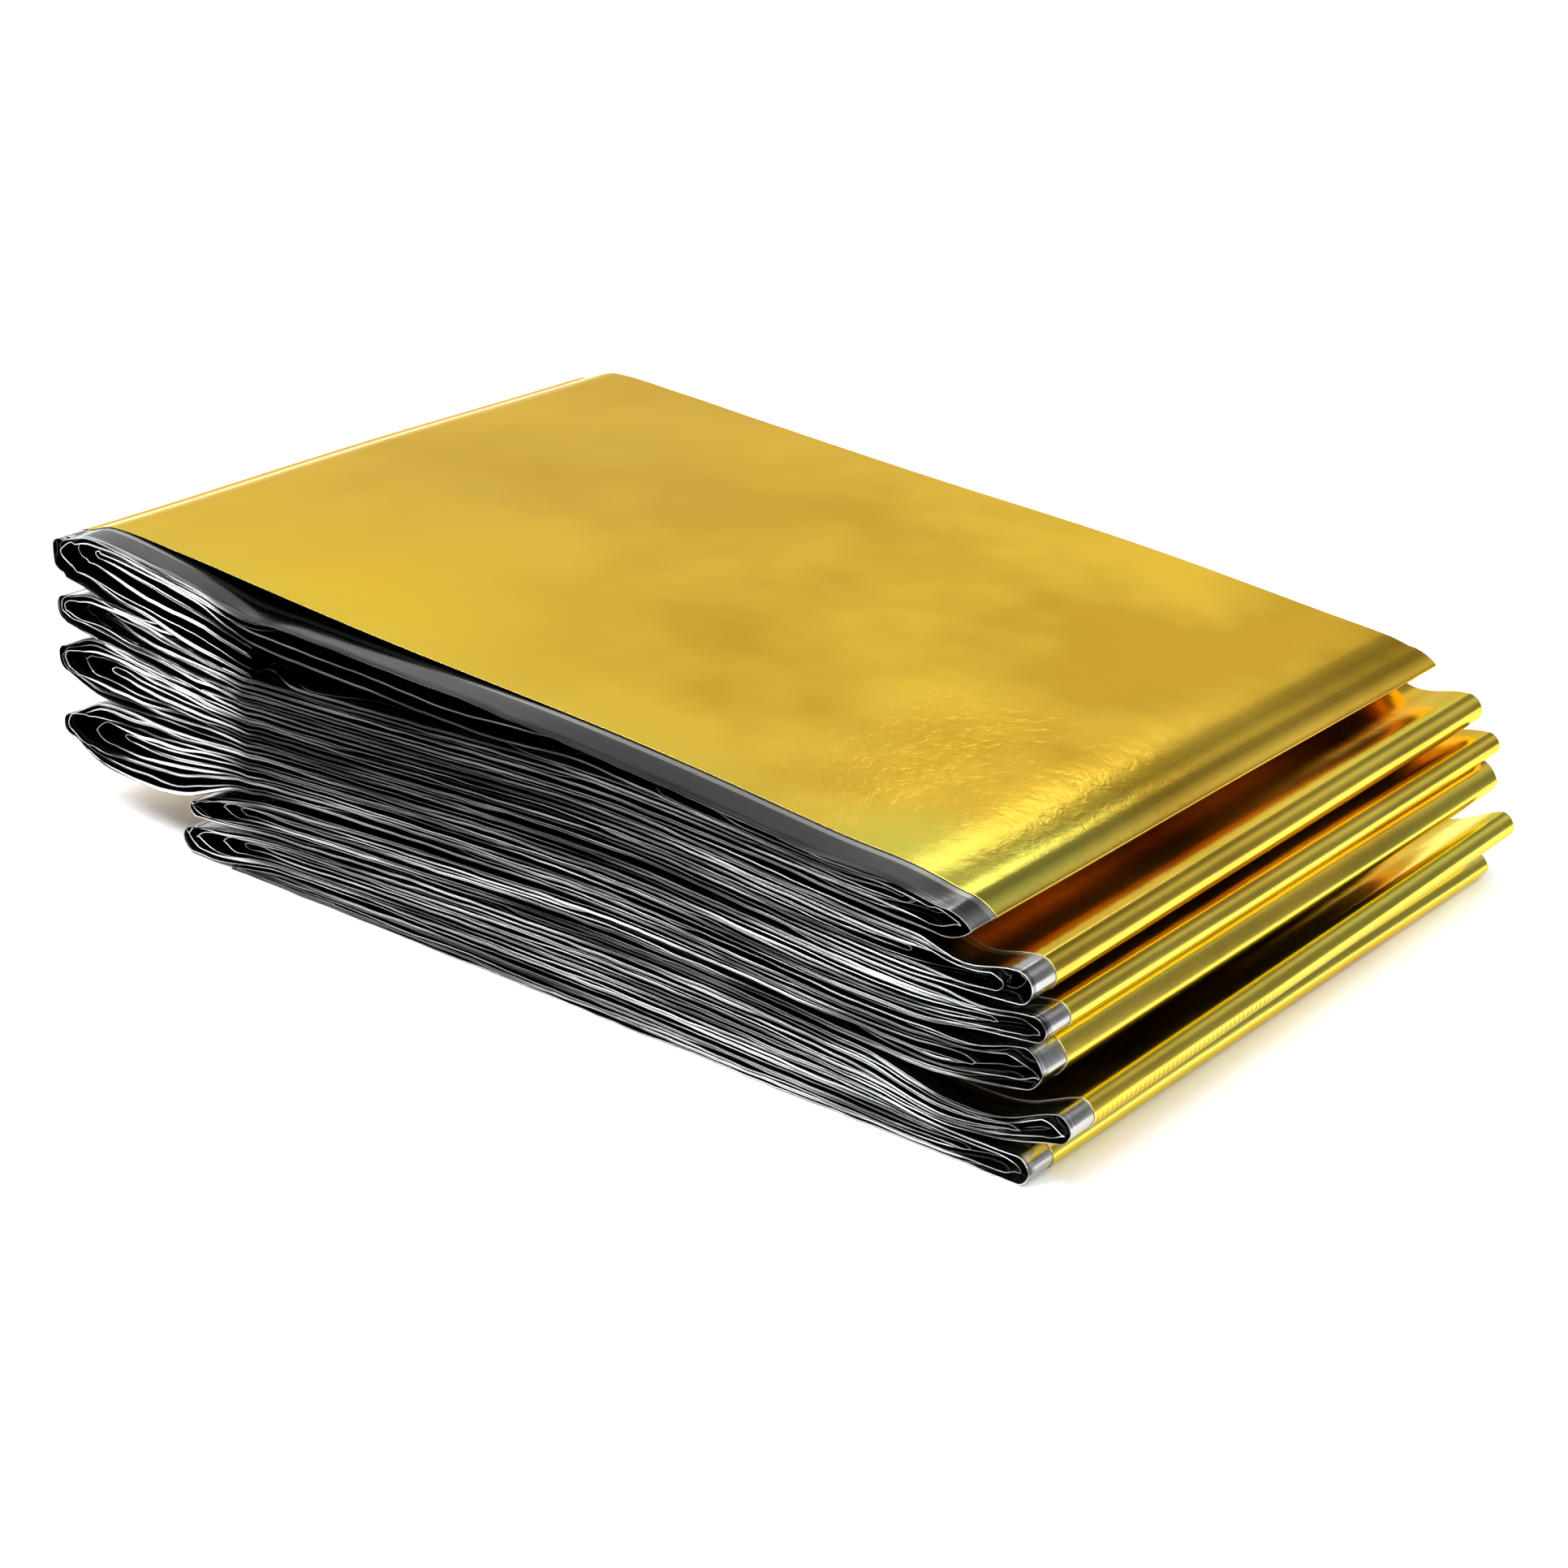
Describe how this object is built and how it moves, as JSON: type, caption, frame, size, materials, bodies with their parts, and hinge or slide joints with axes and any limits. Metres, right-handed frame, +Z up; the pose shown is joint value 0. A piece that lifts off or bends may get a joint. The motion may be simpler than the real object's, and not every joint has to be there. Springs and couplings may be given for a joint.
{
  "type": "emergency foil blanket",
  "caption": "Emergency foil blanket folded flat: gold metallised film folded back and forth into a compact layered packet that rests on its flat underside.",
  "frame": {"origin": "centre of the packet's footprint, on the surface that it rests on", "axes": "+X along the packet's length, towards the open ends of the gold folds; +Y along its width, away from the edge with the bare grey margin; +Z up through the layers"},
  "size_m": [0.1418, 0.0874, 0.0346],
  "materials": {
    "gold_film": "gold-lacquered aluminium on thin polyester film, smooth and mirror-like, with fine creases"
  },
  "bodies": {
    "root": {"foil_blanket": "gold_film"}
  },
  "joints": []
}
